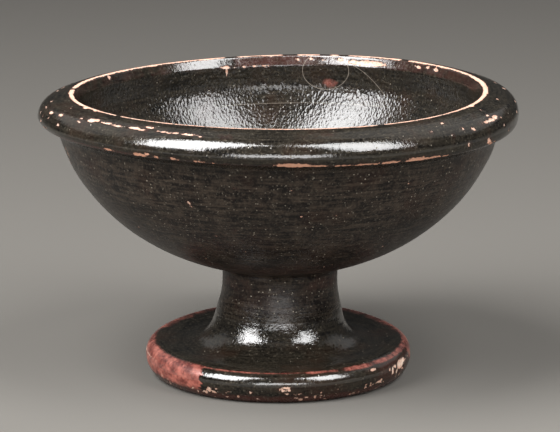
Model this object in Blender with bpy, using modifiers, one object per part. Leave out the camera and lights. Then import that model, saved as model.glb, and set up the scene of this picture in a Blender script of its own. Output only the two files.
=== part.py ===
"""Black-glazed bowl on a short stem and a disc foot, thrown and turned as one body of clay.

Metres, +Z up. The origin is the middle of the foot's resting ring. The front looks along -Y.
"""

import math

import bpy

# The rim: its rounded outer side, its sloping top, the worn lip and the bevel inside it.
RIM_RADIUS = 0.0800
RIM_ROUND_WIDTH = 0.0065
RIM_ROUND_RISE = 0.0062
RIM_ROUND_FALL = 0.0034
RIM_UNDERSIDE_ROUND = 0.0030
RIM_TOP_WIDTH = 0.0056
RIM_TOP_FALL = 0.0015
RIM_OVERHANG = 0.0064
LIP_FLAT_WIDTH = 0.0018
BEVEL_WIDTH = 0.0014
BEVEL_HEIGHT = 0.0035
RIM_SHOULDER_ANGLE = math.radians(75.5)
RIM_UNDERCUT_ANGLE = math.radians(50)
UNDERSIDE_SLOPE = math.radians(24.5)

# The bowl below the rim, with its outside drawn as if it ran on to the axis. The fullness values
# say how far the curve keeps its first and last directions.
BOWL_DEPTH = 0.0488
WALL_THICKNESS = 0.0066
FLOOR_THICKNESS = 0.0082
WALL_SLOPE = math.radians(75.4)
WALL_FULLNESS = 0.58
FLOOR_FULLNESS = 0.507

# The stem, and the hollow curve that spreads it on to the foot. The hollow and reach values say
# how far the curve keeps its first and last directions.
STEM_RADIUS = 0.0195
STEM_LENGTH = 0.0041
STEM_FILLET = 0.0010
FLARE_HEIGHT = 0.01945
FLARE_SPREAD = 0.0102
FLARE_HOLLOW = 0.42
FLARE_REACH = 0.69

# The foot: its gently sloping top, its edge, rounder above than below, and its resting ring.
FOOT_RADIUS = 0.0448
FOOT_TOP_SLOPE = math.radians(6)
FOOT_ARRIS_ANGLE = math.radians(69.5)
FOOT_ROUND_WIDTH = 0.0042
FOOT_ROUND_RISE = 0.0040
FOOT_UNDER_WIDTH = 0.0053
FOOT_UNDER_HEIGHT = 0.0066
RESTING_WIDTH = 0.0066

# The hollow under the foot.
RECESS_DEPTH = 0.0016
RECESS_BEVEL = 0.0014
RECESS_ARCH = 0.0026
HOLLOW_RADIUS = 0.0135
HOLLOW_TIP_RADIUS = 0.0030
SOLID_CORE = 0.0180

# How far the firing moved the vessel: the bowl leans down to the left, its rim is slightly
# twisted, and the edge of the foot rises towards the back.
LEAN = math.tan(math.radians(0.55))
RIM_TWIST = 0.0007
FOOT_WARP = 0.0034

# How finely the turned shape is divided, and the angle at which an edge shows as sharp.
TURN_STEPS = 72
WALL_STEPS = 9
INSIDE_STEPS = 9
ROUND_STEPS = 6
UNDERCUT_STEPS = 3
FLARE_STEPS = 7
EDGE_ROUND_STEPS = 4
EDGE_UNDER_STEPS = 5
MERGE_DISTANCE = 0.00001
HALVINGS = 40
SHARP_ANGLE = math.radians(24)

# The foot's upper arris, and heights above the resting plane, that follow from the sizes above.
FOOT_ARRIS_RADIUS = FOOT_RADIUS - FOOT_ROUND_WIDTH * (1 - math.cos(FOOT_ARRIS_ANGLE))
FOOT_ARRIS_HEIGHT = FOOT_UNDER_HEIGHT + FOOT_ROUND_RISE * math.sin(FOOT_ARRIS_ANGLE)
FLARE_FOOT_RADIUS = STEM_RADIUS + FLARE_SPREAD
FOOT_TOP = FOOT_ARRIS_HEIGHT + (FOOT_ARRIS_RADIUS - FLARE_FOOT_RADIUS) * math.tan(FOOT_TOP_SLOPE)
FLARE_TOP = FOOT_TOP + FLARE_HEIGHT
BOWL_BASE = FLARE_TOP + STEM_LENGTH
WALL_TOP = BOWL_BASE + BOWL_DEPTH


def clear_scene():
    """Remove every object that the scene holds."""
    for thing in list(bpy.data.objects):
        bpy.data.objects.remove(thing, do_unlink=True)


def on_curve(curve, t):
    """The point at t, from 0 to 1, along a cubic curve of four control points."""
    weights = ((1 - t) ** 3, 3 * (1 - t) ** 2 * t, 3 * (1 - t) * t ** 2, t ** 3)
    radius = sum(weight * point[0] for weight, point in zip(weights, curve))
    height = sum(weight * point[1] for weight, point in zip(weights, curve))
    return radius, height


def direction_on(curve, t):
    """The unit direction of travel at t along a cubic curve."""
    weights = ((1 - t) ** 2, 2 * (1 - t) * t, t ** 2)
    legs = [(end[0] - start[0], end[1] - start[1]) for start, end in zip(curve, curve[1:])]
    across = sum(weight * leg[0] for weight, leg in zip(weights, legs))
    up = sum(weight * leg[1] for weight, leg in zip(weights, legs))
    length = math.hypot(across, up)
    return across / length, up / length


def curve_points(curve, steps, start=0.0, end=1.0):
    """Points along a cubic curve from start to end, with both ends."""
    return [on_curve(curve, start + (end - start) * step / steps) for step in range(steps + 1)]


def ellipse_points(centre, width, height, start, end, steps):
    """Points along an ellipse from one angle to another, with both ends."""
    points = []
    for step in range(steps + 1):
        angle = start + (end - start) * step / steps
        points.append((centre[0] + width * math.cos(angle), centre[1] + height * math.sin(angle)))
    return points


def wall_curve():
    """The outside of the bowl from under the rim to the axis, where it would end without a stem."""
    top = (RIM_RADIUS - RIM_OVERHANG, WALL_TOP)
    reach = WALL_FULLNESS * BOWL_DEPTH
    top_handle = (top[0] - reach * math.cos(WALL_SLOPE), top[1] - reach * math.sin(WALL_SLOPE))
    base_handle = (FLOOR_FULLNESS * top[0], BOWL_BASE)
    return top, top_handle, base_handle, (0.0, BOWL_BASE)


def t_at_radius(curve, radius):
    """Where a curve that runs in to the axis passes a radius, found by halving."""
    low, high = 0.0, 1.0
    for _ in range(HALVINGS):
        middle = (low + high) / 2
        if on_curve(curve, middle)[0] > radius:
            low = middle
        else:
            high = middle
    return (low + high) / 2


def inside():
    """The inside of the bowl, from the middle of the floor up to the top of the wall."""
    curve = wall_curve()
    points = []
    for step in range(INSIDE_STEPS + 1):
        t = 1 - step / INSIDE_STEPS
        radius, height = on_curve(curve, t)
        across, up = direction_on(curve, t)
        thickness = WALL_THICKNESS + (FLOOR_THICKNESS - WALL_THICKNESS) * t
        points.append((radius + up * thickness, height - across * thickness))
    points[0] = (0.0, BOWL_BASE + FLOOR_THICKNESS)
    return points


def rim():
    """The rim, from the foot of its inner bevel over the crest and round to its underside."""
    underside_width = RIM_OVERHANG - RIM_UNDERSIDE_ROUND * (1 - math.cos(RIM_UNDERCUT_ANGLE))
    underside_top = WALL_TOP + underside_width * math.tan(UNDERSIDE_SLOPE)
    widest = underside_top + RIM_ROUND_FALL * math.sin(RIM_UNDERCUT_ANGLE)
    shoulder = widest + RIM_ROUND_RISE * math.sin(RIM_SHOULDER_ANGLE)
    crest = shoulder + RIM_TOP_FALL
    shoulder_radius = RIM_RADIUS - RIM_ROUND_WIDTH * (1 - math.cos(RIM_SHOULDER_ANGLE))
    crest_outside = shoulder_radius - RIM_TOP_WIDTH
    crest_inside = crest_outside - LIP_FLAT_WIDTH

    upper = ellipse_points((RIM_RADIUS - RIM_ROUND_WIDTH, widest), RIM_ROUND_WIDTH, RIM_ROUND_RISE,
                           RIM_SHOULDER_ANGLE, 0.0, ROUND_STEPS)
    lower = ellipse_points((RIM_RADIUS - RIM_UNDERSIDE_ROUND, widest), RIM_UNDERSIDE_ROUND,
                           RIM_ROUND_FALL, 0.0, -RIM_UNDERCUT_ANGLE, UNDERCUT_STEPS)
    bevel = [(crest_inside - BEVEL_WIDTH, crest - BEVEL_HEIGHT), (crest_inside, crest)]
    return bevel + [(crest_outside, crest)] + upper + lower[1:]


def outside_wall():
    """The outside of the bowl, from under the rim down over a small fillet on to the stem."""
    curve = wall_curve()
    points = curve_points(curve, WALL_STEPS, 0.0, t_at_radius(curve, STEM_RADIUS + STEM_FILLET))
    return points + [(STEM_RADIUS, points[-1][1] - STEM_FILLET)]


def flare():
    """The hollow curve from the stem down and out on to the top of the foot."""
    end = (FLARE_FOOT_RADIUS, FOOT_TOP)
    reach = FLARE_REACH * FLARE_SPREAD
    curve = ((STEM_RADIUS, FLARE_TOP),
             (STEM_RADIUS, FLARE_TOP - FLARE_HOLLOW * FLARE_HEIGHT),
             (end[0] - reach * math.cos(FOOT_TOP_SLOPE), end[1] + reach * math.sin(FOOT_TOP_SLOPE)),
             end)
    return curve_points(curve, FLARE_STEPS)


def foot_edge():
    """The rounded edge of the foot, from the arris of its top down to the resting ring."""
    upper = ellipse_points((FOOT_RADIUS - FOOT_ROUND_WIDTH, FOOT_UNDER_HEIGHT), FOOT_ROUND_WIDTH,
                           FOOT_ROUND_RISE, FOOT_ARRIS_ANGLE, 0.0, EDGE_ROUND_STEPS)
    lower = ellipse_points((FOOT_RADIUS - FOOT_UNDER_WIDTH, FOOT_UNDER_HEIGHT), FOOT_UNDER_WIDTH,
                           FOOT_UNDER_HEIGHT, 0.0, -math.pi / 2, EDGE_UNDER_STEPS)
    return upper + lower[1:]


def underside():
    """The resting ring, the shallow recess inside it and the hollow that runs up into the stem."""
    ring_inside = FOOT_RADIUS - FOOT_UNDER_WIDTH - RESTING_WIDTH
    recess_edge = ring_inside - RECESS_BEVEL
    hollow_mouth = RECESS_DEPTH + RECESS_ARCH
    tip = BOWL_BASE + FLOOR_THICKNESS - SOLID_CORE
    half_way = ((recess_edge + HOLLOW_RADIUS) / 2, hollow_mouth - RECESS_ARCH / 4)
    return [(ring_inside, 0.0),
            (recess_edge, RECESS_DEPTH),
            half_way,
            (HOLLOW_RADIUS, hollow_mouth),
            (HOLLOW_TIP_RADIUS, tip - HOLLOW_TIP_RADIUS),
            (0.0, tip)]


def profile():
    """Half of the section through the vessel, from its floor over the rim to the hollow's tip."""
    outside = rim() + outside_wall() + flare() + foot_edge()
    return inside() + outside + underside()


def turn(name, points, collection):
    """Turn a profile of (radius, height) points about the Z axis with a Screw modifier."""
    mesh = bpy.data.meshes.new(name)
    edges = [(index, index + 1) for index in range(len(points) - 1)]
    mesh.from_pydata([(radius, 0.0, height) for radius, height in points], edges, [])
    turned = bpy.data.objects.new(name, mesh)
    collection.objects.link(turned)
    screw = turned.modifiers.new("Turn", "SCREW")
    screw.axis = "Z"
    screw.angle = math.tau
    screw.steps = TURN_STEPS
    screw.render_steps = TURN_STEPS
    screw.use_merge_vertices = True
    screw.merge_threshold = MERGE_DISTANCE
    return turned


def eased(share):
    """A share held between 0 and 1, with a smooth start and a smooth end."""
    share = min(max(share, 0.0), 1.0)
    return share * share * (3 - 2 * share)


def firing_rise(x, y, z):
    """How far the firing lifted a point of the bowl or of the foot. The resting ring stays level."""
    bowl_share = eased((z - FOOT_TOP) / (BOWL_BASE - FOOT_TOP))
    bowl_rise = LEAN * x + RIM_TWIST * 2 * x * y / RIM_RADIUS ** 2
    outward = (math.hypot(x, y) - FLARE_FOOT_RADIUS) / (FOOT_ARRIS_RADIUS - FLARE_FOOT_RADIUS)
    upward = eased(z / FOOT_ARRIS_HEIGHT) * (1 - eased((z - FOOT_TOP) / FLARE_HEIGHT))
    foot_rise = FOOT_WARP * ((y + FOOT_RADIUS) / (2 * FOOT_RADIUS)) ** 2
    return bowl_share * bowl_rise + eased(outward) * upward * foot_rise


def fired(turned):
    """Make the turned shape a plain mesh and move it as the kiln did."""
    bpy.context.view_layer.update()
    depsgraph = bpy.context.evaluated_depsgraph_get()
    mesh = bpy.data.meshes.new_from_object(turned.evaluated_get(depsgraph))
    turned.modifiers.clear()
    turned.data = mesh
    for vertex in mesh.vertices:
        x, y, z = vertex.co
        vertex.co.z = z + firing_rise(x, y, z)


def black_glaze():
    """Glossy slip that fired black over an orange clay."""
    material = bpy.data.materials.new("black_glaze")
    material.use_nodes = True
    shader = material.node_tree.nodes["Principled BSDF"]
    shader.inputs["Base Color"].default_value = (0.022, 0.018, 0.015, 1.0)
    shader.inputs["Roughness"].default_value = 0.24
    shader.inputs["Metallic"].default_value = 0.0
    return material


def main():
    clear_scene()
    collection = bpy.data.collections.new("Black-glazed bowl")
    bpy.context.scene.collection.children.link(collection)

    bowl = turn("footed_bowl", profile(), collection)
    fired(bowl)
    bowl.data.materials.append(black_glaze())
    bowl.data.shade_smooth()
    bowl.data.set_sharp_from_angle(angle=SHARP_ANGLE)


main()
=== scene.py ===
import math

import bpy
import numpy as np
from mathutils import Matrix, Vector


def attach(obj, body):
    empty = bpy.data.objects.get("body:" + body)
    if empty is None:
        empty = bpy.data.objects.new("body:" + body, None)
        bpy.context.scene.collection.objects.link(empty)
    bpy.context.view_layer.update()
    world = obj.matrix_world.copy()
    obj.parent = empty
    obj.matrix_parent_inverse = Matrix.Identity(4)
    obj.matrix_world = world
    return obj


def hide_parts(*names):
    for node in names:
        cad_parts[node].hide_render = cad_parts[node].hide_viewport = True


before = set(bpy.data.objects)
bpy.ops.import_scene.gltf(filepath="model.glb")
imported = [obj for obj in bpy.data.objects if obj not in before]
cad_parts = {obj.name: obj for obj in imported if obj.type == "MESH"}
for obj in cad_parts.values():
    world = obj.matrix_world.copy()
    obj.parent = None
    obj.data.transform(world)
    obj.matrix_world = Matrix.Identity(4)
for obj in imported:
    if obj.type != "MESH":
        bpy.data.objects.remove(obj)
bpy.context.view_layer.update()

MM = 0.001

# What the turning tree takes, each under its input's name.
SIZES = {
    # The vessel as it was fired: the bowl leans down to the left, its rim is slightly twisted, and the
    # edge of the foot rises towards the back. These sizes are the solid's own.
    "Lean": math.tan(math.radians(0.55)), "Rim twist": 0.7 * MM, "Rim radius": 80.0 * MM,
    "Foot warp": 3.4 * MM, "Foot radius": 44.8 * MM, "Foot arris radius": 42.07 * MM,
    "Foot arris height": 10.35 * MM, "Flare foot radius": 29.7 * MM, "Foot top": 11.65 * MM,
    "Flare top": 31.1 * MM, "Bowl base": 35.2 * MM, "Wall top": 84.0 * MM,
    # What is finer than the solid: the stem and the wall sit a little to the right of the rim, the
    # rim's lower arris lies higher on the left, and the flare is fuller some way below the stem's top.
    "Wall shift": 0.6 * MM, "Arris lift": -0.05 * MM, "Arris tilt": -0.013, "Arris start": 90.0 * MM,
    "Arris full": 87.2 * MM, "Arris inside": 68.0 * MM, "Arris outside": 72.0 * MM,
    "Bulge height": 0.5 * MM,
    # Relief left by the wheel and the turning tool.
    "Swell height": 0.30 * MM, "Swell size": 38.0 * MM, "Ridge height": 0.09 * MM,
    "Ridge pitch": 5.0 * MM, "Ridge length": 60.0 * MM, "Resting fade": 2.5 * MM, "Relief seed": 7.0,
    # How close two points are before they are made one where the turn closes.
    "Seam merge": 0.02 * MM}
# How far up the rim and down the stem the worn glaze reaches, and where the flare is fullest and how
# far each way, along the half section in mm.
WORN_RIM = 2.8
WORN_STEM = 14.0
BULGE_BELOW_STEM = 13.5
BULGE_REACH = 9.0

# How finely the vessel is divided: around, along its half section, and in its closer zones.
STEPS_ROUND = 480
CORNER_ANGLE = math.radians(24)
CORNER_SOFTNESS = 0.30 * MM
FINE_STEP = 0.08 * MM
OPEN_SPACING = 2.2 * MM
RIM_SPACING = 0.48 * MM
FOOT_EDGE_SPACING = 0.62 * MM
UNDERSIDE_SPACING = 4.2 * MM
SPACING_BLEND = 3.0 * MM
RIM_MARGIN = 3.0 * MM
CLOSE_MARGIN = 2.0 * MM
SECTION_REACH = 0.01 * MM

# Rings on the half section, as radius and height in mm.
RING_PLACES = {"bevel foot": (66.3, 93.0), "lip": (68.6, 96.5), "shoulder": (75.1, 95.0),
               "rim arris": (78.9, 86.4), "wall head": (73.6, 84.0), "stem top": (19.5, 36.5),
               "foot arris": (42.1, 10.4), "foot widest": (44.8, 6.6), "ring outside": (39.5, 0.0),
               "ring inside": (32.9, 0.0)}


def linear(code):
    """An sRGB hex colour as the linear colour that a shader takes."""
    levels = [int(code[place:place + 2], 16) / 255 for place in (1, 3, 5)]
    return [v / 12.92 if v <= 0.04045 else ((v + 0.055) / 1.055) ** 2.4 for v in levels] + [1.0]


def add(tree, kind, inputs=(), output=0, **settings):
    """Add a node, set its settings, give its inputs values or links, and return one output."""
    node = tree.nodes.new(kind)
    for name, value in settings.items():
        setattr(node, name, value)
    pairs = inputs.items() if isinstance(inputs, dict) else enumerate(inputs)
    for socket, value in pairs:
        if isinstance(value, bpy.types.NodeSocket):
            tree.links.new(value, node.inputs[socket])
        elif value is not None:
            node.inputs[socket].default_value = value
    return node if output is None else node.outputs[output]


def gap(tree, value, other):
    """How far a value lies from another."""
    difference = add(tree, "ShaderNodeMath", [value, other], operation="SUBTRACT")
    return add(tree, "ShaderNodeMath", [difference], operation="ABSOLUTE")


# The half section, read from the solid.

def half_section(node):
    """The corners of a turned solid's half section, in order from its floor to its hollow's tip.

    They are the solid's own corners in front of the axis, where the firing moved nothing."""
    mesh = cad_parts[node].data
    places, beside = {}, {}
    for vertex in mesh.vertices:
        x, y, z = vertex.co
        if abs(x) < SECTION_REACH and y < SECTION_REACH:
            places[vertex.index] = (round(-y, 6), round(z, 6))
            beside.setdefault(places[vertex.index], set())
    for edge in mesh.edges:
        start, end = (places.get(index) for index in edge.vertices)
        if start and end and start != end:
            beside[start].add(end)
            beside[end].add(start)
    on_axis = [place for place in beside if place[0] < SECTION_REACH]
    chain = [max(on_axis, key=lambda place: place[1])]
    onward = beside[chain[0]]
    while onward:
        chain.append(min(onward))
        onward = [place for place in beside[chain[-1]] if place not in chain]
    return np.array(chain)


def distances(points):
    """How far along a line each of its points lies."""
    return np.concatenate([[0.0], np.cumsum(np.linalg.norm(np.diff(points, axis=0), axis=1))])


def nearest(line, place):
    """The index of the line's point that lies nearest a place given in mm."""
    return int(np.argmin(np.linalg.norm(line - np.array(place) * MM, axis=1)))


def smooth_section(corners):
    """The half section as a fine smooth line, with its true arrises only slightly softened."""
    legs = np.diff(corners, axis=0)
    lengths = np.linalg.norm(legs, axis=1)[:, None]
    ways = legs / lengths
    turns = np.arccos(np.clip((ways[:-1] * ways[1:]).sum(axis=1), -1, 1))
    shared = ways[:-1] * lengths[1:] + ways[1:] * lengths[:-1]
    shared /= np.linalg.norm(shared, axis=1)[:, None]
    sharp = (turns > CORNER_ANGLE)[:, None]
    leaving = np.vstack([[[1.0, 0.0]], np.where(sharp, ways[1:], shared)])
    arriving = np.vstack([np.where(sharp, ways[:-1], shared), [[-1.0, 0.0]]])

    fine = []
    for start, end, out, into, length in zip(corners, corners[1:], leaving, arriving, lengths):
        t = np.linspace(0, 1, max(int(length[0] / FINE_STEP), 2), endpoint=False)[:, None]
        fine.append((2 * t ** 3 - 3 * t ** 2 + 1) * start + (t ** 3 - 2 * t ** 2 + t) * length * out
                    + (3 * t ** 2 - 2 * t ** 3) * end + (t ** 3 - t ** 2) * length * into)
    fine = np.vstack(fine + [corners[-1:]])

    run = distances(fine)
    even = np.arange(0, run[-1], FINE_STEP)
    line = np.stack([np.interp(even, run, fine[:, axis]) for axis in (0, 1)], axis=1)
    reach = int(3 * CORNER_SOFTNESS / FINE_STEP)
    weights = np.exp(-0.5 * (np.arange(-reach, reach + 1) * FINE_STEP / CORNER_SOFTNESS) ** 2)
    weights /= weights.sum()
    before = line[reach:0:-1] * (-1, 1)
    after = line[-2:-reach - 2:-1] * (-1, 1)
    padded = np.vstack([before, line, after])
    soft = np.stack([np.convolve(padded[:, axis], weights, "valid") for axis in (0, 1)], axis=1)
    soft[[0, -1], 0] = 0.0
    return np.clip(soft, 0.0, [corners[:, 0].max(), corners[:, 1].max()])


def spaced_section(line):
    """Rows along the fine line: close together at the rim and the foot's edge, wider elsewhere."""
    run = distances(line)
    spacing = np.full(len(line), OPEN_SPACING)
    ring = {name: run[nearest(line, place)] for name, place in RING_PLACES.items()}
    rim = (run > ring["bevel foot"] - RIM_MARGIN) & (run < ring["wall head"] + CLOSE_MARGIN)
    foot_edge = (run > ring["foot arris"] - CLOSE_MARGIN) & (run < ring["ring outside"])
    spacing[rim] = RIM_SPACING
    spacing[foot_edge] = FOOT_EDGE_SPACING
    spacing[run > ring["ring inside"]] = UNDERSIDE_SPACING
    blend = np.ones(int(SPACING_BLEND / FINE_STEP))
    density = np.convolve(1 / spacing, blend / len(blend), "same")
    rows = np.concatenate([[0.0], np.cumsum((density[1:] + density[:-1]) / 2 * np.diff(run))])
    even = np.linspace(0, rows[-1], int(rows[-1]) + 1)
    return np.stack([np.interp(even, rows, line[:, axis]) for axis in (0, 1)], axis=1)


fine_line = smooth_section(half_section("footed_bowl"))
fine_run = distances(fine_line)
rows = spaced_section(fine_line)
RING = {name: fine_run[nearest(fine_line, place)] / MM for name, place in RING_PLACES.items()}


# The vessel, turned from the half section by a geometry tree.

def named_inputs(tree, sockets):
    """Give a geometry tree its named inputs, and return each one's identifier."""
    tree.interface.new_socket(name="Geometry", in_out="OUTPUT", socket_type="NodeSocketGeometry")
    return {name: tree.interface.new_socket(name=name, in_out="INPUT", socket_type=kind).identifier
            for name, kind in sockets.items()}


def turning_tree(lengths):
    """The tree that turns a half section about the axis, marks it as the wheel does and fires it."""
    tree = bpy.data.node_groups.new("turned_on_the_wheel", "GeometryNodeTree")
    sockets = {"Half section": "NodeSocketGeometry", "Glaze": "NodeSocketMaterial",
               "Worn glaze": "NodeSocketMaterial", "Inside glaze": "NodeSocketMaterial",
               "Steps round": "NodeSocketInt", **{name: "NodeSocketFloat" for name in lengths}}
    identifiers = named_inputs(tree, sockets)
    size = tree.nodes.new("NodeGroupInput").outputs

    # The grid's columns go round the axis and its rows follow the half section.
    count = add(tree, "GeometryNodeAttributeDomainSize", [size["Half section"]], component="MESH")
    columns = add(tree, "FunctionNodeIntegerMath", [size["Steps round"], 1], operation="ADD")
    grid = add(tree, "GeometryNodeMeshGrid", [1.0, 1.0, columns, count])
    index = add(tree, "GeometryNodeInputIndex")
    row = add(tree, "FunctionNodeIntegerMath", [index, count], operation="MODULO")
    column = add(tree, "FunctionNodeIntegerMath", [index, count], operation="DIVIDE_FLOOR")
    step = add(tree, "ShaderNodeMath", [math.tau, size["Steps round"]], operation="DIVIDE")
    angle = add(tree, "ShaderNodeMath", [column, step], operation="MULTIPLY")
    place = add(tree, "GeometryNodeInputPosition")
    here = add(tree, "GeometryNodeInputNamedAttribute", ["along_mm"], data_type="FLOAT")
    section_place, along = [
        add(tree, "GeometryNodeSampleIndex",
            {"Geometry": size["Half section"], "Value": value, "Index": row},
            data_type=kind, domain="POINT")
        for value, kind in ((place, "FLOAT_VECTOR"), (here, "FLOAT"))]
    section_xyz = add(tree, "ShaderNodeSeparateXYZ", [section_place], output=None).outputs
    cosine = add(tree, "ShaderNodeMath", [angle], operation="COSINE")
    sine = add(tree, "ShaderNodeMath", [angle], operation="SINE")
    x, y = [add(tree, "ShaderNodeMath", [section_xyz["X"], way], operation="MULTIPLY")
            for way in (cosine, sine)]
    turned_place = add(tree, "ShaderNodeCombineXYZ", [x, y, section_xyz["Z"]])
    marked = add(tree, "GeometryNodeStoreNamedAttribute",
                 {"Geometry": grid, "Name": "along_mm", "Value": along},
                 data_type="FLOAT", domain="POINT")
    turned = add(tree, "GeometryNodeSetPosition", {"Geometry": marked, "Position": turned_place})
    outward = add(tree, "GeometryNodeFlipFaces", [turned])
    closed = add(tree, "GeometryNodeMergeByDistance",
                 {"Geometry": outward, "Distance": size["Seam merge"]})

    # The throwing swells and turning ridges, cut inwards and faded out at the resting ring.
    xyz = add(tree, "ShaderNodeSeparateXYZ", [place], output=None).outputs
    swell_scale = add(tree, "ShaderNodeMath", [1.0, size["Swell size"]], operation="DIVIDE")
    swell = add(tree, "ShaderNodeTexNoise",
                {"Vector": place, "W": size["Relief seed"], "Scale": swell_scale, "Detail": 1.0},
                noise_dimensions="4D")
    here_m = add(tree, "ShaderNodeMath", [here, MM], operation="MULTIPLY")
    ridge_up = add(tree, "ShaderNodeMath", [here_m, size["Ridge pitch"]], operation="DIVIDE")
    ridge_x, ridge_y = [add(tree, "ShaderNodeMath", [xyz[way], size["Ridge length"]], operation="DIVIDE")
                        for way in "XY"]
    ridges = add(tree, "ShaderNodeTexNoise",
                 {"Vector": add(tree, "ShaderNodeCombineXYZ", [ridge_x, ridge_y, ridge_up]),
                  "W": size["Relief seed"], "Scale": 1.0, "Detail": 1.5}, noise_dimensions="4D")
    swells = add(tree, "ShaderNodeMath", [swell, size["Swell height"]], operation="MULTIPLY")
    depth = add(tree, "ShaderNodeMath", [ridges, size["Ridge height"], swells], operation="MULTIPLY_ADD")
    clear_of_rest = add(tree, "ShaderNodeMapRange",
                        {"Value": xyz["Z"], "From Max": size["Resting fade"], "To Max": -1.0},
                        interpolation_type="SMOOTHSTEP")
    sink = add(tree, "ShaderNodeMath", [depth, clear_of_rest], operation="MULTIPLY")

    # The flare is a little fuller above its foot than the solid's.
    bulge_share = add(tree, "ShaderNodeMapRange",
                      {"Value": gap(tree, here, size["Bulge at"]), "From Max": size["Bulge reach"],
                       "To Min": 1.0, "To Max": 0.0}, interpolation_type="SMOOTHSTEP")
    outward_by = add(tree, "ShaderNodeMath", [bulge_share, size["Bulge height"], sink],
                     operation="MULTIPLY_ADD")
    offset = add(tree, "ShaderNodeVectorMath",
                 {0: add(tree, "GeometryNodeInputNormal"), "Scale": outward_by}, operation="SCALE")
    worked = add(tree, "GeometryNodeSetPosition", {"Geometry": closed, "Offset": offset})

    # What share of each change a point takes, by its height or radius, and the bowl's lean and twist.
    flat = add(tree, "ShaderNodeVectorMath", {0: place, 1: (1.0, 1.0, 0.0)}, operation="MULTIPLY")
    radius = add(tree, "ShaderNodeVectorMath", {0: flat}, output="Value", operation="LENGTH")
    risen, outward_share, below_stem, under_rim, outside_only = [
        add(tree, "ShaderNodeMapRange", {"Value": value, "From Min": size[start], "From Max": size[end]},
            interpolation_type="SMOOTHSTEP")
        for value, start, end in (
            (xyz["Z"], "Foot top", "Bowl base"), (radius, "Flare foot radius", "Foot arris radius"),
            (xyz["Z"], "Flare top", "Foot top"), (xyz["Z"], "Arris start", "Arris full"),
            (radius, "Arris inside", "Arris outside"))]
    tilt = add(tree, "ShaderNodeMath", [size["Lean"], xyz["X"]], operation="MULTIPLY")
    across, back = [add(tree, "ShaderNodeMath", [xyz[way], size["Rim radius"]], operation="DIVIDE")
                    for way in "XY"]
    corner = add(tree, "ShaderNodeMath", [across, back], operation="MULTIPLY")
    twice = add(tree, "ShaderNodeMath", [size["Rim twist"], 2.0], operation="MULTIPLY")
    twisted = add(tree, "ShaderNodeMath", [twice, corner, tilt], operation="MULTIPLY_ADD")
    bowl_rise = add(tree, "ShaderNodeMath", [risen, twisted], operation="MULTIPLY")

    # The rise of the foot's edge towards the back.
    upward_share = add(tree, "ShaderNodeMapRange",
                       {"Value": xyz["Z"], "From Max": size["Foot arris height"]},
                       interpolation_type="SMOOTHSTEP")
    foot_width = add(tree, "ShaderNodeMath", [size["Foot radius"], 2.0], operation="MULTIPLY")
    from_front = add(tree, "ShaderNodeMath", [xyz["Y"], size["Foot radius"]], operation="ADD")
    behind = add(tree, "ShaderNodeMath", [from_front, foot_width], operation="DIVIDE")
    behind_square = add(tree, "ShaderNodeMath", [behind, behind], operation="MULTIPLY")
    warp = add(tree, "ShaderNodeMath", [size["Foot warp"], behind_square], operation="MULTIPLY")
    edge_share = add(tree, "ShaderNodeMath", [upward_share, below_stem], operation="MULTIPLY")
    foot_share = add(tree, "ShaderNodeMath", [outward_share, edge_share], operation="MULTIPLY")
    rise = add(tree, "ShaderNodeMath", [foot_share, warp, bowl_rise], operation="MULTIPLY_ADD")

    # The uneven lower arris of the rim, and the wall and stem a little to the right.
    up_wall = add(tree, "ShaderNodeMapRange",
                  {"Value": xyz["Z"], "From Min": size["Bowl base"], "From Max": size["Wall top"]})
    uneven = add(tree, "ShaderNodeMath", [size["Arris tilt"], xyz["X"], size["Arris lift"]],
                 operation="MULTIPLY_ADD")
    arris_share = add(tree, "ShaderNodeMath", [under_rim, outside_only], operation="MULTIPLY")
    whole_rise = add(tree, "ShaderNodeMath", [uneven, arris_share, rise], operation="MULTIPLY_ADD")
    below_rim = add(tree, "ShaderNodeMapRange",
                    {"Value": up_wall, "From Min": 0.5, "From Max": 1.0, "To Min": 1.0, "To Max": 0.0},
                    interpolation_type="SMOOTHSTEP")
    aside = add(tree, "ShaderNodeMath", [risen, below_rim], operation="MULTIPLY")
    shift = add(tree, "ShaderNodeMath", [aside, size["Wall shift"]], operation="MULTIPLY")
    moved = add(tree, "ShaderNodeCombineXYZ", [shift, 0.0, whole_rise])
    fired = add(tree, "GeometryNodeSetPosition", {"Geometry": worked, "Offset": moved})

    # The three finishes: the burnished one, the worn one outside and beneath, and the dimpled one inside.
    smooth = add(tree, "GeometryNodeSetShadeSmooth", {"Geometry": fired, "Shade Smooth": True})
    real = add(tree, "GeometryNodeRealizeInstances", {"Geometry": smooth})
    past_rim, above_flare, beneath, within = [
        add(tree, "FunctionNodeCompare", {"A": here, "B": size[bound]}, operation=test)
        for bound, test in (("Worn from", "GREATER_THAN"), ("Worn to", "LESS_THAN"),
                            ("Beneath from", "GREATER_THAN"), ("Inside to", "LESS_THAN"))]
    outside = add(tree, "FunctionNodeBooleanMath", [past_rim, above_flare], operation="AND")
    worn = add(tree, "FunctionNodeBooleanMath", [outside, beneath], operation="OR")
    glazed = real
    for where, finish in ((True, "Glaze"), (worn, "Worn glaze"), (within, "Inside glaze")):
        glazed = add(tree, "GeometryNodeSetMaterial",
                     {"Geometry": glazed, "Selection": where, "Material": size[finish]})
    add(tree, "NodeGroupOutput", [glazed], output=None)
    return tree, identifiers


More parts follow.
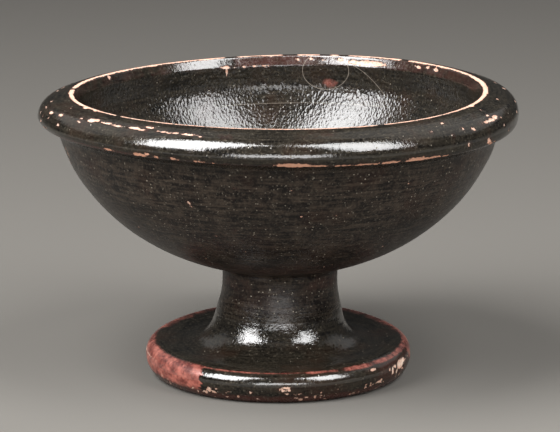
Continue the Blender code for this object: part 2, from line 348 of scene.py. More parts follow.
def turned_vessel(glaze, worn_glaze, inside_glaze):
    """The whole vessel as one closed mesh, turned from the half section by the geometry tree."""
    mesh = bpy.data.meshes.new("half_section")
    edges = [(index, index + 1) for index in range(len(rows) - 1)]
    mesh.from_pydata([(radius, 0.0, height) for radius, height in rows], edges, [])
    along = mesh.attributes.new("along_mm", "FLOAT", "POINT")
    along.data.foreach_set("value", (distances(rows) / MM).astype(np.float32))
    source = bpy.data.objects.new("half_section", mesh)
    bpy.context.scene.collection.objects.link(source)

    lengths = {**SIZES, "Worn from": RING["rim arris"] - WORN_RIM,
               "Worn to": RING["stem top"] + WORN_STEM, "Beneath from": RING["foot widest"],
               "Inside to": RING["bevel foot"], "Bulge at": RING["stem top"] + BULGE_BELOW_STEM,
               "Bulge reach": BULGE_REACH}
    tree, identifiers = turning_tree(lengths)
    modifier = source.modifiers.new("Turning", "NODES")
    modifier.node_group = tree
    finishes = {"Glaze": glaze, "Worn glaze": worn_glaze, "Inside glaze": inside_glaze}
    for name, value in {**lengths, **finishes, "Steps round": STEPS_ROUND}.items():
        modifier[identifiers[name]] = value
    bpy.context.view_layer.update()
    depsgraph = bpy.context.evaluated_depsgraph_get()
    turned = bpy.data.meshes.new_from_object(source.evaluated_get(depsgraph))
    source.modifiers.remove(modifier)
    bpy.data.objects.remove(source)
    vessel = bpy.data.objects.new("black_glazed_bowl", turned)
    bpy.context.scene.collection.objects.link(vessel)
    return vessel


# The wear. A patch is its azimuth in degrees from the front, positive to the right, how far it lies
# past its ring in mm, its length round and its width in mm.

SHOULDER_CHIPS = [
    (-83.0, 0.2, 1.6, 0.9), (-76.8, 7.4, 1.2, 1.4), (-74.5, 10.2, 1.2, 0.8), (-80.7, 5.4, 1.4, 1.2),
    (-79.0, 2.6, 1.4, 0.7), (-70.8, 4.9, 1.0, 0.8), (-76.1, 5.5, 0.9, 1.0), (-67.4, -2.6, 0.8, 0.5),
    (-71.8, 2.8, 3.0, 1.2), (-65.6, 2.0, 2.8, 1.1), (-63.5, 5.6, 1.8, 1.2), (-71.8, 9.4, 2.0, 1.0),
    (-56.5, 0.4, 1.2, 0.8), (-55.6, 2.2, 1.6, 0.9), (-52.2, 0.1, 3.8, 2.1), (-50.6, -0.6, 2.2, 1.3),
    (-46.5, -0.3, 5.4, 0.9), (-42.2, 0.2, 3.8, 0.8), (-37.2, -0.2, 4.6, 1.3), (-34.8, 0.3, 2.6, 0.8),
    (-33.2, -1.7, 2.8, 0.8), (-28.9, 0.0, 2.8, 0.8), (-26.8, 0.3, 1.0, 0.7), (-25.0, 0.1, 2.4, 0.7),
    (-21.8, 0.2, 4.0, 1.0), (-18.6, 0.9, 1.0, 0.7), (60.9, 3.4, 8.0, 1.1), (64.0, 3.0, 3.2, 1.6),
    (44.6, -1.2, 1.2, 1.0), (52.2, 4.4, 1.7, 1.2), (61.9, 1.2, 1.6, 1.0), (44.5, 4.9, 1.0, 0.8),
    (49.5, 8.7, 1.5, 1.1), (38.6, 2.2, 0.9, 0.7), (57.9, 9.2, 2.0, 1.4), (48.7, 3.5, 0.9, 0.7),
    (66.8, 6.9, 0.9, 0.9), (66.6, 4.0, 0.9, 0.6), (70.0, 8.8, 0.9, 0.8), (81.1, 6.5, 1.2, 0.8),
    (87.3, 4.4, 1.6, 0.8), (63.5, -2.2, 0.8, 0.6), (78.7, -2.0, 1.0, 0.6)]
ARRIS_CHIPS = [
    (-42.4, -0.7, 4.2, 1.0), (-33.4, -0.7, 5.2, 1.6), (-31.0, -1.5, 1.6, 1.2), (-28.8, -0.7, 1.5, 1.3),
    (-24.4, -0.8, 1.9, 1.0), (-23.4, -0.4, 0.9, 0.8), (-18.2, -0.5, 4.0, 0.9), (-14.8, -0.3, 1.2, 0.6),
    (3.6, -0.5, 12.5, 2.1), (9.4, -0.2, 6.0, 1.2), (15.0, -0.1, 6.5, 0.9), (20.6, -0.2, 8.0, 1.2),
    (26.6, -0.4, 8.0, 1.4), (33.4, -0.6, 8.4, 1.9), (38.4, -0.6, 5.0, 1.1), (42.0, -0.5, 2.0, 0.7),
    (59.5, -0.8, 1.6, 1.6), (61.4, -0.8, 1.2, 0.9)]
INSIDE_CHIPS = [
    (-164.5, -1.6, 0.8, 4.2), (-163.8, 0.2, 3.0, 1.0), (-166.8, 0.1, 1.0, 0.8), (-169.6, 0.1, 1.2, 0.7),
    (-173.0, 0.1, 2.0, 0.6), (-176.2, 0.0, 2.0, 0.6), (151.8, 1.5, 13.0, 1.9), (157.2, 1.8, 3.0, 1.4),
    (174.0, 2.2, 1.4, 0.9), (170.4, 2.4, 2.0, 0.9), (166.4, 2.2, 1.6, 0.7), (161.2, 2.4, 3.0, 1.0),
    (134.0, 2.2, 2.6, 0.9), (130.4, 2.6, 1.4, 0.9), (126.6, 2.4, 3.0, 1.1), (-120.9, 2.9, 1.4, 1.9)]
FOOT_CHIPS = [
    (66.2, -0.6, 5.6, 3.0), (69.6, -1.2, 3.6, 1.8), (58.6, 0.4, 1.3, 3.0), (60.6, -0.8, 3.0, 1.0),
    (56.0, -0.6, 1.2, 1.0), (48.9, 2.6, 3.0, 1.1), (45.6, 3.0, 1.2, 0.8), (41.0, 3.6, 1.0, 0.8),
    (45.2, -2.4, 3.4, 0.8), (50.6, 2.2, 1.4, 0.9), (-30.6, 2.4, 1.5, 1.2), (-28.8, 3.4, 1.0, 0.9),
    (-33.4, 4.2, 2.2, 1.2), (-37.4, 4.4, 1.4, 0.9), (-40.2, 3.8, 1.0, 0.8), (-17.6, 4.4, 0.8, 1.0),
    (-9.0, 5.2, 1.2, 0.8), (7.8, 4.6, 1.0, 0.8), (12.4, 4.6, 0.9, 0.8), (16.0, 4.9, 0.8, 0.7),
    (-84.0, -1.4, 20.0, 0.5), (86.0, -1.2, 14.0, 0.5), (62.6, 1.4, 1.2, 1.6), (68.6, 1.6, 1.4, 0.9)]
WALL_CHIPS = [
    (-76.0, 4.6, 1.6, 2.2), (-75.0, 6.8, 1.4, 1.8), (-79.0, 10.0, 1.6, 2.4), (18.0, 52.0, 0.9, 1.5),
    (21.5, 53.0, 0.7, 1.1), (24.5, 51.0, 0.8, 0.6), (41.0, 40.0, 1.1, 0.9), (-52.0, 31.0, 0.8, 0.8)]
# One chip at the foot's front is a ring round an island of glaze.
RING_CHIP = (3.1, 1.0, 3.6, 2.1)
RING_CHIP_ISLAND = (3.1, 1.0, 1.8, 0.8)

# The chips of the sides that the photograph doesn't show: how many on each ring, and their sizes.
BACK_CHIPS = {"shoulder": (26, 1.4, 0.9), "rim arris": (20, 3.6, 1.1), "foot widest": (14, 1.8, 1.2)}
BACK_FROM, BACK_TO = 90.0, 270.0
BACK_SIZES = (0.5, 1.5)
BACK_SCATTER = 0.8
# Flecks, over the foot and the wall: how many, their least width, how much wider the mean one is, and
# from and to how far past which ring they lie.
FLECKS = [(110, 0.40, 0.22, ("foot widest", 2.2), ("foot widest", 6.4)),
          (130, 0.45, 0.18, ("wall head", 4.0), ("stem top", -6.0))]
FLECK_STRETCH = 1.3
WEAR_SEED = 41

# The lip is worn to the clay all round, more so at the sides and back, and less in a few places.
LIP_WEAR_FRONT, LIP_WEAR_ENDS = 1.0, 1.6
LIP_WEAR_TURNS = (50, 82)
NOTCH_DEPTH = 1.5
LIP_NOTCHES = [(-94.6, 1.6), (-47.6, 1.2), (-166.0, 3.0), (176.6, 3.5), (166.0, 2.5), (160.5, 2.6),
               (140.0, 2.0), (28.0, 1.4)]
LIP_BLOBS = [(-63.2, 1.0, 2.4, 1.5), (-58.0, 0.7, 2.0, 1.0), (64.6, 0.8, 2.6, 1.2)]
# How deep a chip is, how far in from its edge its slope runs, and a distance beyond every patch.
CHIP_DEPTH = 0.28
CHIP_EDGE = 0.5
FAR = 50.0
# How far the worn resting ring reaches past its edges, outside and inside.
REST_WEAR = (1.2, 0.4)

# The thin glaze round the bevel: from and to which azimuth, how soft its ends are in degrees, and how
# thin it is from 0 to 1. It is a little thin elsewhere too.
BEVEL_THIN = [(171.0, 191.5, 4, 0.60), (100.0, 146.0, 6, 0.42), (146.0, 171.0, 4, 0.36),
              (206.0, 280.0, 10, 0.24)]
BEVEL_THIN_ELSEWHERE = 0.08
# Stains: a patch, its strength, and how far outside and inside its edge it fades, in mm.
SHOULDER_STAINS = [(-33.4, -1.0, 2.2, 5.0, 0.62, 0.8, 0.8), (-12.5, 0.5, 7.0, 5.0, 0.24, 1.0, 1.2),
                   (11.5, -2.0, 9.0, 3.0, 0.24, 1.0, 1.2)]
CORAL_SPOT = [(164.2, -6.7, 6.4, 3.2, 0.5, 1.0, 1.3)]


def round_from(centre, azimuth, radius):
    """How far round the vessel each point lies from an azimuth, in mm."""
    return np.radians((azimuth - centre + 180) % 360 - 180) * radius


def patches(azimuth, along, radius, places):
    """How far each point lies outside the nearest of some oval patches. Inside is negative."""
    reach = np.full(len(along), FAR)
    for centre, at, length, width in places:
        share = np.hypot(round_from(centre, azimuth, radius) / (length / 2), (along - at) / (width / 2))
        reach = np.minimum(reach, (share - 1) * width / 2)
    return reach


def eased(value, start, end):
    """0 before start, 1 after end, and smooth between them. Start may be the larger."""
    share = np.clip((value - start) / (end - start), 0, 1)
    return share * share * (3 - 2 * share)


def band(along, ring, past, edge, core):
    """1 within core mm of a line that runs some way past a ring, and 0 beyond edge mm from it."""
    return eased(np.abs(along - RING[ring] - past), edge, core)


def stains(azimuth, along, radius, ring, places):
    """Soft oval stains past a ring, each as strong as it says."""
    return np.maximum.reduce([
        strength * eased(patches(azimuth, along, radius, [(centre, RING[ring] + past, length, width)]),
                         outer, -inner)
        for centre, past, length, width, strength, outer, inner in places])


def sector(azimuth, start, end, edge):
    """1 from one azimuth round to another, with soft ends some degrees wide."""
    span = (end - start) % 360
    inside = (azimuth - start) % 360
    outside = np.minimum(360 - inside, np.maximum(inside - span, 0))
    return eased(np.where(inside <= span, 0.0, outside), edge, 0.0)


def wander(azimuth, seed):
    """A value from about -1 to 1 that wanders round the vessel."""
    rng = np.random.default_rng(seed)
    waves = [np.sin(np.radians(azimuth) * count + rng.uniform(0, math.tau))
             for count in (5, 11, 19, 37, 61)]
    return sum(waves) / 3


def all_chips():
    """Every chip as an azimuth, a distance along the half section, a length and a width in mm."""
    chips = [(azimuth, RING[ring] + past, length, width)
             for ring, places in (("shoulder", SHOULDER_CHIPS), ("rim arris", ARRIS_CHIPS),
                                  ("bevel foot", INSIDE_CHIPS), ("foot widest", FOOT_CHIPS),
                                  ("lip", LIP_BLOBS), ("wall head", WALL_CHIPS))
             for azimuth, past, length, width in places]
    rng = np.random.default_rng(WEAR_SEED)
    for ring, (count, length, width) in BACK_CHIPS.items():
        for _ in range(count):
            size = rng.uniform(*BACK_SIZES)
            chips.append((rng.uniform(BACK_FROM, BACK_TO), RING[ring] + rng.normal(0, BACK_SCATTER),
                          size * length, size * width))
    for count, least, more, (first_ring, first_past), (last_ring, last_past) in FLECKS:
        start, end = RING[first_ring] + first_past, RING[last_ring] + last_past
        for _ in range(count):
            size = least + rng.exponential(more)
            chips.append((rng.uniform(-180, 180), rng.uniform(start, end), size * FLECK_STRETCH, size))
    return chips


def wear_distances(azimuth, along, radius):
    """How far each point lies from where the glaze has gone, in mm, and how deep the chips are."""
    chips = patches(azimuth, along, radius, all_chips())
    chip, island = [patches(azimuth, along, radius, [(centre, RING["foot widest"] + past, length, width)])
                    for centre, past, length, width in (RING_CHIP, RING_CHIP_ISLAND)]
    chips = np.minimum(chips, np.maximum(chip, -island))
    sunk = CHIP_DEPTH * eased(chips, 0.1, -CHIP_EDGE)

    width = LIP_WEAR_FRONT + (LIP_WEAR_ENDS - LIP_WEAR_FRONT) * eased(np.abs(azimuth), *LIP_WEAR_TURNS)
    half_width = width / 2 * (1 + 0.2 * wander(azimuth, 3))
    for centre, length in LIP_NOTCHES:
        off = np.abs(round_from(centre, azimuth, radius))
        half_width = half_width - NOTCH_DEPTH * eased(off, length, 0.3 * length)
    lip = np.abs(along - RING["lip"] - 0.1 * wander(azimuth, 4)) - half_width
    worn_ring = np.maximum(RING["ring outside"] - REST_WEAR[0] - along,
                           along - RING["ring inside"] - REST_WEAR[1])
    bare = np.minimum(np.minimum(chips, lip), worn_ring + 0.5 * wander(azimuth, 5))
    return bare, sunk


def thin_glaze(azimuth, along, radius):
    """Where the glaze lies so thin that the clay shows through it reddish brown, and a brownish band
    round the stem just below the bowl, from 0 to 1.
    """
    bevel_foot, lip, widest = RING["bevel foot"], RING["lip"], RING["foot widest"]
    bevel = eased(along, bevel_foot - 0.5, bevel_foot + 0.4) * eased(along, lip, lip - 1)
    bevel *= np.maximum.reduce([share * sector(azimuth, start, end, edge)
                                for start, end, edge, share in BEVEL_THIN]).clip(BEVEL_THIN_ELSEWHERE)
    arris = (0.35 + 0.6 * sector(azimuth, -72.0, -38.0, 8)) * band(along, "rim arris", 0.0, 1.5, 0.3)
    stain = stains(azimuth, along, radius, "shoulder", SHOULDER_STAINS)
    # A brownish band round the stem a little below the bowl, fading out towards the front.
    stem = 0.4 * band(along, "stem top", 3.0, 4.5, 1.0) * eased(np.abs(azimuth), 10, 50)
    low_wall = 0.30 * band(along, "stem top", -18.0, 16.0, 4.0)
    foot_low = 0.85 * eased(along, widest + 2.5, widest + 5.0)
    foot_right = 0.6 * sector(azimuth, 56.0, 84.0, 18) * band(along, "foot widest", 0.0, 4.5, 2.5)
    return np.maximum.reduce([bevel, arris, stain, stem, low_wall, foot_low, foot_right])


def coral_clay(azimuth, along, radius):
    """Where the clay fired coral, at the foot's edge and in a spot inside, from 0 to 1."""
    arris, widest = RING["foot arris"], RING["foot widest"]
    outer = eased(along, arris - 2.0, arris + 0.4) * eased(along, widest + 5.0, widest + 1.5)
    ragged_end = azimuth + 0.8 * np.sin(1.9 * along) + 0.6 * np.sin(4.3 * along)
    left = (0.62 + 0.38 * sector(azimuth, -66.0, -42.0, 22)) * sector(ragged_end, -112.0, -35.6, 1.0)
    back = 0.66 * sector(azimuth, 84.0, 250.0, 10)
    reach = 1.0 + 6.0 * sector(azimuth, 115.0, 245.0, 25)
    top = eased(along, arris - reach, arris + 0.6) * eased(along, widest + 3.0, widest)
    width = 0.5 + 1.1 * sector(azimuth, 40.0, 110.0, 30)
    line = band(along, "foot arris", 0.3 * width - 0.3, width, 0.3 * width)
    line *= 0.62 + 0.25 * wander(azimuth, 8)
    spot = stains(azimuth, along, radius, "bevel foot", CORAL_SPOT)
    return np.maximum.reduce([outer * left, top * back, line, spot])


def mark_wear(mesh):
    """Sink the chips into the surface, and give its points what the glaze material draws from."""
    count = len(mesh.vertices)
    place, normal = np.empty(3 * count, np.float32), np.empty(3 * count, np.float32)
    along = np.empty(count, np.float32)
    mesh.vertices.foreach_get("co", place)
    mesh.vertices.foreach_get("normal", normal)
    mesh.attributes["along_mm"].data.foreach_get("value", along)
    place, normal = place.reshape(-1, 3), normal.reshape(-1, 3)
    azimuth = np.degrees(np.arctan2(place[:, 0], -place[:, 1]))
    radius = np.hypot(place[:, 0], place[:, 1]) / MM
    bare, sunk = wear_distances(azimuth, along, radius)
    warmth = np.maximum(0.35 * band(along, "lip", 0, 3, 1), 0.85 * band(along, "rim arris", 0, 3, 1))
    marks = {"bare_mm": bare, "clay_warmth": warmth, "thin_glaze": thin_glaze(azimuth, along, radius),
             "coral_clay": coral_clay(azimuth, along, radius)}
    for name, values in marks.items():
        layer = mesh.attributes.new(name, "FLOAT", "POINT")
        layer.data.foreach_set("value", values.astype(np.float32))
    chipped = place - normal * (sunk * MM)[:, None]
    mesh.vertices.foreach_set("co", chipped.astype(np.float32).ravel())
    mesh.update()


# The finish. Sizes, heights and places are in mm.

# Each noise's size, detail and roughness. The real clay's grain and grit are too fine to show, so they
# are drawn coarser.
NOISES = {"cloud": (15.0, 4.0, 0.6), "grain": (0.9, 2.0, 0.6), "grit": (0.85, 1.0, 0.5),
          "ragged": (1.1, 3.0, 0.65), "mottle": (4.0, 4.0, 0.65)}
# The wheel's streaks: how far each runs round, and how far apart they lie. The real ones are closer
# together, too fine to show.
WHEEL_RUN, WHEEL_PITCH = 10.0, 0.9
# The brush's strokes and the dimples inside: their width round and their length along the wall.
STROKE_WIDTH, STROKE_LENGTH = 0.85, 1.5
# The pale pits, everywhere and on the wall: their spacing, their radius with and without its soft
# edge, and between which chances a cell's pit starts to show and shows fully.
PITS = [(2.2, 0.30, 0.15, 0.5, 0.95), (1.25, 0.30, 0.12, 0.4, 0.8)]
# Zones along the half section: where each starts, is full, is last full, and ends.
ZONES = {"worn wall": (RING["rim arris"], RING["wall head"] + 3,
                       RING["stem top"] + 10, RING["stem top"] + 17),
         "flare": (RING["stem top"] + 9, RING["stem top"] + 13,
                   RING["foot arris"] - 6, RING["foot arris"] - 2)}

# The looped scratch, its tail and the pale line, as places across and up the far wall inside.
LOOP_CENTRE = (16.6, -1.9)
LOOP_RADII = (8.1, 6.7)
TAIL_START = (23.1, 1.7)
TAIL_END = 37.5
TAIL_SLOPE, TAIL_BEND = -0.30, -0.035
TAIL_ASLANT = 0.75
LINE_AT = 79.05
LINE_MIDDLE, LINE_REACH = 9.0, 29.0
SCRATCH_WIDTH = 0.15
SCRATCH_SHARE, LINE_SHARE = 0.55, 0.35
FAR_SIDE = 30 * MM

# Mottled colours: the darkest and the lightest, and the values of the mottle that give them.
GLAZE = ("#0b0a09", "#332e26", 0.95, 1.65)
WORN_GLAZE = ("#0d0807", "#3b322a", 1.06, 1.42)
CORAL = ("#5a2823", "#b0685a", 0.56, 0.86)
CLAY = ("#c2957f", "#e6cfbd", 0.4, 0.65)
# Plain colours.
WARM_CLAY = "#d99e82"
BROWN_CLOUD = "#2c180f"
THIN_GLAZE = "#3f231d"
GRIT = "#5f584c"
PIT = "#a39a8a"
SCRATCH = "#8f857a"

# Where the glaze is gone, the soft rim of that, and where it is thin, coral, gritty and brown: the value
# of its pattern where each starts and where it is full, and how strong it is then.
SHARES = {"bare": (0.92, 0.76, 1.0), "bare rim": (1.7, 0.95, 0.25), "thin": (0.66, 1.35, 1.0),
          "coral": (0.42, 0.98, 1.0), "grit": (0.58, 0.78, 0.38), "brown": (0.5, 0.72, 0.5)}
# How far the clay's raggedness moves the edges of the bare clay, and the mottle those of the coral.
BARE_RAGGED = 1.7
CORAL_RAGGED = 0.5
# The values of the clouds between which the pits come, and what share of them shows elsewhere.
PITTED_CLOUDS = (0.42, 0.6)
PITS_ELSEWHERE = 0.25

# Roughness: from the burnished glaze's smoothest grain to its roughest, and what else adds to it.
BURNISHED = (0.06, 0.20)
WORN_DULLS, INSIDE_DULLS, THIN_DULLS, CORAL_DULLS, CLAY_DULLS = 0.22, 0.03, 0.15, 0.2, 0.6

# Relief: how high the streaks, strokes and mottling stand, and how much more in a zone of their own.
ZONE_HEIGHTS = [("worn wall", 0.026, 0.045), ("inside", 0.03, 0.07), ("flare", 0.11, 0.16)]
GRAIN_HEIGHT, BARE_DEPTH, PIT_DEPTH = 0.038, 0.12, 0.10
# The dimples get deeper up the wall: how far below the bevel, and how deep, where that starts and ends.
DIMPLES_BELOW = (24, 10)
DIMPLE_DEPTHS = (0.06, 0.11)

# The three finishes and how strongly each mirrors: clearly, dully where it is worn on the wall, the stem
# and beneath, and broken up by dimples inside.
FINISHES = {"burnished": 1.0, "worn": 0.3, "dimpled": 0.75}


def black_glaze(finish, specular_level):
    """Black gloss: a fine iron-rich slip over orange clay, burnished on the wheel and fired.

    It is glossy, near black with olive and brown clouds, streaked by the wheel, and pitted. Inside,
    small dimples and close upright strokes break up its shine. Where it is thin it goes reddish brown,
    where the kiln's air reached the foot it is coral, and where it has gone the pale clay shows matt."""
    material = bpy.data.materials.new(f"{finish}_black_gloss_slip_on_orange_clay")
    material.use_nodes = True
    tree = material.node_tree
    shader = tree.nodes["Principled BSDF"]
    shader.inputs["IOR"].default_value = 1.5
    shader.inputs["Specular IOR Level"].default_value = specular_level

    place = add(tree, "ShaderNodeTexCoord", output="Object")
    xyz = add(tree, "ShaderNodeSeparateXYZ", [place], output=None).outputs
    along, bare_at, thin_at, coral_at, warmth = [
        add(tree, "ShaderNodeAttribute", output="Fac", attribute_name=mark)
        for mark in ("along_mm", "bare_mm", "thin_glaze", "coral_clay", "clay_warmth")]
    cloud, grain, grit, ragged, mottle = [
        add(tree, "ShaderNodeTexNoise",
            {"Vector": place, "Scale": 1 / (size * MM), "Detail": detail, "Roughness": roughness})
        for size, detail, roughness in NOISES.values()]

    # The wall inside, the duller and more streaked wall and stem outside, and the flare.
    inside = add(tree, "ShaderNodeMapRange",
                 {"Value": along, "From Min": RING["bevel foot"] + 0.3,
                  "From Max": RING["bevel foot"] - 0.5})
    zones = {"inside": inside}
    for zone, (start, full, last_full, end) in ZONES.items():
        slopes = [add(tree, "ShaderNodeMapRange", {"Value": along, "From Min": edge, "From Max": core})
                  for edge, core in ((start, full), (end, last_full))]
        zones[zone] = add(tree, "ShaderNodeMath", slopes, operation="MULTIPLY")

    # The wheel's streaks, the brush's strokes and the dimples, stretched round or along the wall.
    stretched = []
    for round_size, up_size in ((WHEEL_RUN, WHEEL_PITCH), (STROKE_WIDTH, STROKE_LENGTH)):
        up = add(tree, "ShaderNodeMath", [along, 1 / up_size], operation="MULTIPLY")
        crosswise = 1 / (round_size * MM)
        stretched.append(add(tree, "ShaderNodeVectorMath",
                             {0: place, 1: (crosswise, crosswise, 0.0),
                              2: add(tree, "ShaderNodeCombineXYZ", [0.0, 0.0, up])},
                             operation="MULTIPLY_ADD"))
    wheel_place, stroke_place = stretched
    wheel = add(tree, "ShaderNodeTexNoise",
                {"Vector": wheel_place, "Scale": 1.0, "Detail": 2.0, "Roughness": 0.6})
    strokes = add(tree, "ShaderNodeTexNoise",
                  {"Vector": stroke_place, "Scale": 1.0, "Detail": 2.0, "Roughness": 0.55})
    dimples = add(tree, "ShaderNodeTexVoronoi", {"Vector": stroke_place, "Scale": 1.0}, output="Distance")
    dimples = add(tree, "ShaderNodeMath", [dimples, dimples], operation="MULTIPLY")

    # Small pale pits, each in its own cell, the closer ones on the wall only, and more in paler clouds.
    specks = []
    for spacing, edge, core, first, last in PITS:
        cells = add(tree, "ShaderNodeTexVoronoi", {"Vector": place, "Scale": 1 / (spacing * MM)},
                    output=None).outputs
        chance = add(tree, "ShaderNodeSeparateColor", [cells["Color"]])
        chosen = add(tree, "ShaderNodeMapRange", {"Value": chance, "From Min": first, "From Max": last})
        pit = add(tree, "ShaderNodeMapRange",
                  {"Value": cells["Distance"], "From Min": edge / spacing, "From Max": core / spacing})
        specks.append(add(tree, "ShaderNodeMath", [pit, chosen], operation="MULTIPLY"))
    specks[1] = add(tree, "ShaderNodeMath", [specks[1], zones["worn wall"]], operation="MULTIPLY")
    specks = add(tree, "ShaderNodeMath", specks, operation="MAXIMUM")
    pitted = add(tree, "ShaderNodeMapRange",
                 {"Value": cloud, "From Min": PITTED_CLOUDS[0], "From Max": PITTED_CLOUDS[1],
                  "To Min": PITS_ELSEWHERE})
    specks = add(tree, "ShaderNodeMath", [specks, pitted], operation="MULTIPLY")

    # Where the glaze is gone, thin or coral, with ragged edges, and where it is gritty or brown.
    bare_ragged = add(tree, "ShaderNodeMath", [ragged, BARE_RAGGED, bare_at], operation="MULTIPLY_ADD")
    thin_ragged = add(tree, "ShaderNodeMath", [mottle, thin_at], operation="ADD")
    coral_ragged = add(tree, "ShaderNodeMath", [mottle, CORAL_RAGGED, coral_at], operation="MULTIPLY_ADD")
    patterns = {"bare": bare_ragged, "bare rim": bare_ragged, "thin": thin_ragged, "coral": coral_ragged,
                "grit": grit, "brown": cloud}
    bare, bare_rim, thin, coral, grit, brown = [
        add(tree, "ShaderNodeMapRange", {"Value": patterns[name], "From Min": start, "From Max": full,
                                         "To Max": strength})
        for name, (start, full, strength) in SHARES.items()]
    thin = add(tree, "ShaderNodeMath", [thin, bare_rim], operation="MAXIMUM")

    # How far each point lies from the looped scratch, its tail and the pale line.
    x_mm = add(tree, "ShaderNodeMath", [xyz["X"], 1 / MM], operation="MULTIPLY")
    up = add(tree, "ShaderNodeMath", [along, RING["bevel foot"]], operation="SUBTRACT")
    loop_place = []
    for value, centre, loop_radius in zip((x_mm, up), LOOP_CENTRE, LOOP_RADII):
        off = add(tree, "ShaderNodeMath", [value, centre], operation="SUBTRACT")
        loop_place.append(add(tree, "ShaderNodeMath", [off, loop_radius], operation="DIVIDE"))
    loop_round = add(tree, "ShaderNodeVectorMath", {0: add(tree, "ShaderNodeCombineXYZ", loop_place)},
                     output="Value", operation="LENGTH")
    loop_off = add(tree, "ShaderNodeMath", [gap(tree, loop_round, 1.0), LOOP_RADII[1]],
                   operation="MULTIPLY")
    tail_x = add(tree, "ShaderNodeMath", [x_mm, TAIL_START[0]], operation="SUBTRACT")
    tail_fall = add(tree, "ShaderNodeMath", [tail_x, TAIL_BEND, TAIL_SLOPE], operation="MULTIPLY_ADD")
    tail_up = add(tree, "ShaderNodeMath", [tail_x, tail_fall, TAIL_START[1]], operation="MULTIPLY_ADD")
    tail_off = add(tree, "ShaderNodeMath", [gap(tree, up, tail_up), TAIL_ASLANT], operation="MULTIPLY")
    tail_middle = (TAIL_START[0] + TAIL_END) / 2
    ended = []
    for off, middle, reach in ((tail_off, tail_middle, TAIL_END - tail_middle),
                               (gap(tree, along, LINE_AT), LINE_MIDDLE, LINE_REACH)):
        past = add(tree, "ShaderNodeMath", [gap(tree, x_mm, middle), reach], operation="SUBTRACT")
        ended.append(add(tree, "ShaderNodeMath", [off, past], operation="MAXIMUM"))
    tail_off, line_off = ended
    loop_off = add(tree, "ShaderNodeMath", [loop_off, tail_off], operation="MINIMUM")
    lines = [add(tree, "ShaderNodeMapRange", {"Value": off, "From Min": SCRATCH_WIDTH,
                                              "From Max": 0.3 * SCRATCH_WIDTH, "To Max": share})
             for off, share in ((loop_off, SCRATCH_SHARE), (line_off, LINE_SHARE))]
    scratch = add(tree, "ShaderNodeMath", lines, operation="MAXIMUM")
    far_side = add(tree, "ShaderNodeMath", [xyz["Y"], FAR_SIDE], operation="GREATER_THAN")
    within_lip = add(tree, "ShaderNodeMapRange",
                     {"Value": along, "From Min": RING["lip"] - 0.6, "From Max": RING["lip"] - 1.0})
    for share in (within_lip, far_side):
        scratch = add(tree, "ShaderNodeMath", [scratch, share], operation="MULTIPLY")

    # Colours, one over the other.
    tints = []
    for first, strength, second, more in ((cloud, 0.7, grain, 0.8), (mottle, 0.8, strokes, 0.6)):
        tint = add(tree, "ShaderNodeMath", [first, strength, wheel], operation="MULTIPLY_ADD")
        tints.append(add(tree, "ShaderNodeMath", [second, more, tint], operation="MULTIPLY_ADD"))
    coral_tint = add(tree, "ShaderNodeMath", [ragged, 0.35, mottle], operation="MULTIPLY_ADD")
    tones = []
    for tint, (dark, light, start, end) in ((tints[0], GLAZE), (tints[1], WORN_GLAZE),
                                            (coral_tint, CORAL), (ragged, CLAY)):
        share = add(tree, "ShaderNodeMapRange", {"Value": tint, "From Min": start, "From Max": end})
        tones.append(add(tree, "ShaderNodeMix", {0: share, 6: linear(dark), 7: linear(light)},
                         output=2, data_type="RGBA"))
    colour, worn_colour, coral_colour, clay = tones
    clay = add(tree, "ShaderNodeMix", {0: warmth, 6: clay, 7: linear(WARM_CLAY)},
               output=2, data_type="RGBA")
    for share, over in ((zones["worn wall"], worn_colour), (brown, linear(BROWN_CLOUD)),
                        (thin, linear(THIN_GLAZE)), (coral, coral_colour), (grit, linear(GRIT)),
                        (specks, linear(PIT)), (scratch, linear(SCRATCH)), (bare, clay)):
        colour = add(tree, "ShaderNodeMix", {0: share, 6: colour, 7: over}, output=2, data_type="RGBA")
    tree.links.new(colour, shader.inputs["Base Color"])

    # Gloss, duller on the worn wall and stem and where the grain is coarse, and matt on clay.
    gloss = add(tree, "ShaderNodeMapRange", {"Value": grain, "From Min": 0.3, "From Max": 0.7,
                                             "To Min": BURNISHED[0], "To Max": BURNISHED[1]})
    for share, dulls in ((zones["worn wall"], WORN_DULLS), (inside, INSIDE_DULLS),
                         (thin, THIN_DULLS), (coral, CORAL_DULLS), (bare, CLAY_DULLS)):
        gloss = add(tree, "ShaderNodeMath", [share, dulls, gloss], operation="MULTIPLY_ADD")
    tree.links.new(gloss, shader.inputs["Roughness"])

    # Relief, each pattern with its own height or depth.
    wheel_height, stroke_height, mottle_height = [
        add(tree, "ShaderNodeMath", [zones[zone], more, height], operation="MULTIPLY_ADD")
        for zone, height, more in ZONE_HEIGHTS]
    dimple_depth = add(tree, "ShaderNodeMapRange",
                       {"Value": along, "From Min": RING["bevel foot"] - DIMPLES_BELOW[0],
                        "From Max": RING["bevel foot"] - DIMPLES_BELOW[1],
                        "To Min": -DIMPLE_DEPTHS[0], "To Max": -DIMPLE_DEPTHS[1]})
    dimple_depth = add(tree, "ShaderNodeMath", [inside, dimple_depth], operation="MULTIPLY")
    relief = 0.0
    for pattern, height in ((wheel, wheel_height), (grain, GRAIN_HEIGHT), (strokes, stroke_height),
                            (dimples, dimple_depth), (mottle, mottle_height), (bare, -BARE_DEPTH),
                            (specks, -PIT_DEPTH)):
        relief = add(tree, "ShaderNodeMath", [pattern, height, relief], operation="MULTIPLY_ADD")
    bump = add(tree, "ShaderNodeBump", {"Height": relief, "Distance": MM, "Strength": 1.0})
    tree.links.new(bump, shader.inputs["Normal"])
    return material


# The studio. The camera is about a metre off, a little above the rim, at the photograph's angle.

AIM = Vector((0.0, 0.0, 0.06))
FLOOR_REACH = 2.0
CAMERA_PLACE = (0.0006, -1.0754, 0.2914)
CAMERA_DOWN = 12.476
CAMERA_LENS = 211.35

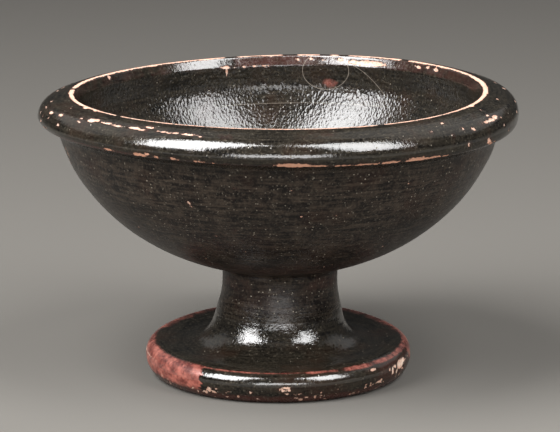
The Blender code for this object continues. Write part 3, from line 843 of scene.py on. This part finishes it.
# Each soft light's azimuth and elevation in degrees, distance and size in m, and power in W. Azimuth 0
# is the camera's side, and the right is positive.
SOFTBOXES = {"left_softbox": (-54, 49, 1.2, (0.66, 1.26), 22.0),
             "right_softbox": (50, 48, 1.2, (0.52, 1.16), 11.4),
             "front_fill": (1, 5.5, 1.5, (1.2, 0.44), 6.0),
             "back_left_fill": (-130, 42, 1.5, (1.5, 1.2), 1.1),
             "back_right_fill": (130, 42, 1.5, (1.5, 1.2), 1.1)}
LIGHT_SPREAD = 140
ROOM_STRENGTH = 0.16


def floor():
    """A plain pale floor."""
    mesh = bpy.data.meshes.new("studio_floor")
    corners = [(x * FLOOR_REACH, y * FLOOR_REACH, 0) for x, y in ((-1, -1), (1, -1), (1, 1), (-1, 1))]
    mesh.from_pydata(corners, [], [(0, 1, 2, 3)])
    plane = bpy.data.objects.new("studio_floor", mesh)
    bpy.context.scene.collection.objects.link(plane)
    material = bpy.data.materials.new("pale_matt_floor")
    material.use_nodes = True
    shader = material.node_tree.nodes["Principled BSDF"]
    shader.inputs["Base Color"].default_value = linear("#67645f")
    shader.inputs["Roughness"].default_value = 0.95
    mesh.materials.append(material)


def softbox(name, azimuth, elevation, distance, size, power):
    """A soft light that faces the bowl."""
    light = bpy.data.lights.new(name, "AREA")
    light.shape = "RECTANGLE"
    light.size, light.size_y = size
    light.energy = power
    light.spread = math.radians(LIGHT_SPREAD)
    lamp = bpy.data.objects.new(name, light)
    side, up = math.radians(azimuth), math.radians(elevation)
    offset = Vector((math.sin(side) * math.cos(up), -math.cos(side) * math.cos(up), math.sin(up)))
    lamp.location = AIM + offset * distance
    lamp.rotation_euler = offset.to_track_quat("Z", "Y").to_euler()
    bpy.context.scene.collection.objects.link(lamp)


def studio():
    """Two soft lights in front, a weak one between them, two weak ones behind, and a dim grey room."""
    floor()
    for name, light in SOFTBOXES.items():
        softbox(name, *light)
    world = bpy.data.worlds.new("dim_grey_room")
    world.use_nodes = True
    world.node_tree.nodes["Background"].inputs["Color"].default_value = linear("#8a8a8a")
    world.node_tree.nodes["Background"].inputs["Strength"].default_value = ROOM_STRENGTH
    bpy.context.scene.world = world
    bpy.context.scene.view_settings.view_transform = "Standard"


def camera():
    """The photograph's view, looking a little down."""
    lens = bpy.data.cameras.new("camera")
    lens.sensor_width = 36.0
    lens.sensor_fit = "HORIZONTAL"
    lens.lens = CAMERA_LENS
    lens.clip_end = 20.0
    eye = bpy.data.objects.new("camera", lens)
    eye.location = CAMERA_PLACE
    eye.rotation_euler = (math.radians(90 - CAMERA_DOWN), 0.0, 0.0)
    bpy.context.scene.collection.objects.link(eye)
    bpy.context.scene.camera = eye


vessel = turned_vessel(*[black_glaze(finish, mirroring) for finish, mirroring in FINISHES.items()])
mark_wear(vessel.data)
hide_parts("footed_bowl")
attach(vessel, "root")
camera()
studio()
